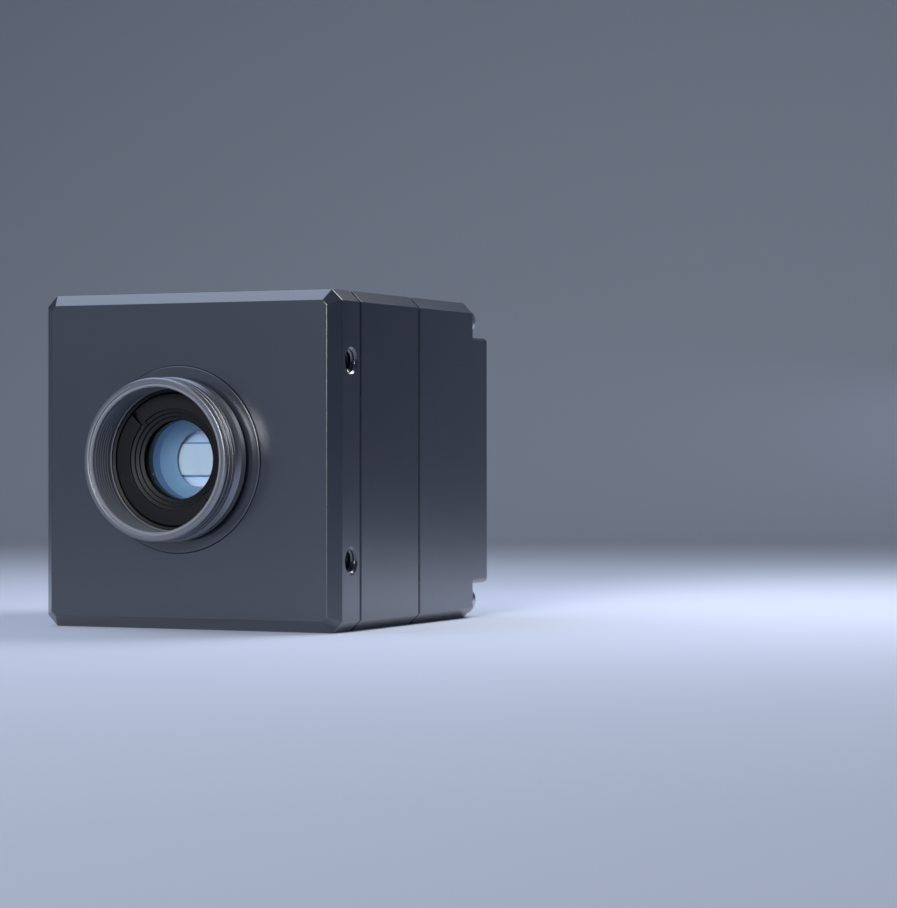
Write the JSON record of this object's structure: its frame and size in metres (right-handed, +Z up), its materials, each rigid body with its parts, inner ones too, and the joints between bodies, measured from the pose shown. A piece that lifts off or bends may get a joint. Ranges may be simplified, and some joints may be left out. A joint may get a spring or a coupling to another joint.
{
  "type": "shortwave infrared camera",
  "caption": "Square metal industrial camera body with a round threaded lens opening in front, and round sockets, a status light and corner screws at the back.",
  "frame": {"origin": "on the plane that the camera stands on, under the middle of its overall box", "axes": "-Y is the way the lens opening looks, +X is to the right seen from the front, +Z is up"},
  "size_m": [0.06, 0.0738, 0.06],
  "materials": {
    "anodised_housing": "satin dark anodised",
    "textured_housing": "dark bead-blasted anodised",
    "mount_metal": "dark anodised, turned",
    "inner_black": "matt black anodised",
    "baffle_metal": "clear anodised",
    "plain_aluminium": "milled",
    "filter_glass": "blue coated",
    "clear_glass": "polished",
    "ceramic": "sintered",
    "detector": "polished semiconductor",
    "seal_rubber": "matt",
    "screw_steel": "bright zinc plated",
    "spacer_brass": "nickel plated",
    "circuit_board": "solder mask",
    "chip_plastic": "moulded",
    "copper": "milled copper",
    "pellets": "sintered",
    "thermal_pad": "soft pad",
    "connector_plastic": "moulded",
    "insert_plastic": "moulded",
    "socket_metal": "dark nickel plated",
    "shield_metal": "nickel plated",
    "contact_gold": "gold plated",
    "light_plastic": "clear smoked",
    "capacitor_can": "can"
  },
  "bodies": {
    "root": {"front_plate": "anodised_housing", "middle_housing": "anodised_housing", "rear_housing": "textured_housing", "lens_mount": "mount_metal", "retaining_ring": "inner_black", "light_baffle": "baffle_metal", "mount_lock_ring": "inner_black", "mount_seal": "seal_rubber", "filter_window": "filter_glass", "sensor_package": "ceramic", "sensor_window": "clear_glass", "sensor_die": "detector", "sensor_socket": "connector_plastic", "sensor_board": "circuit_board", "cold_block": "copper", "cooler_cold_plate": "ceramic", "cooler_pellets": "pellets", "cooler_hot_plate": "ceramic", "heat_spreader": "plain_aluminium", "processor_pad": "thermal_pad", "processor_chip": "chip_plastic", "processor_board": "circuit_board", "memory_chips": "chip_plastic", "power_board": "circuit_board", "power_inductors": "chip_plastic", "power_capacitors": "capacitor_can", "interface_board": "circuit_board", "network_transformer": "chip_plastic", "status_led": "ceramic", "light_pipe": "light_plastic", "sensor_link": "connector_plastic", "power_link": "connector_plastic", "interface_link": "connector_plastic", "front_spacers": "spacer_brass", "middle_spacers": "spacer_brass", "rear_spacers": "spacer_brass", "stack_screws": "screw_steel", "front_gasket": "seal_rubber", "rear_gasket": "seal_rubber", "corner_screws": "screw_steel", "network_socket_shell": "socket_metal", "network_socket_insert": "insert_plastic", "network_socket_shield": "shield_metal", "network_socket_contacts": "contact_gold", "network_socket_nut": "spacer_brass", "network_socket_seal": "seal_rubber", "io_socket_shell": "socket_metal", "io_socket_insert": "insert_plastic", "io_socket_contacts": "contact_gold", "io_socket_nut": "spacer_brass", "io_socket_seal": "seal_rubber"}
  },
  "joints": []
}
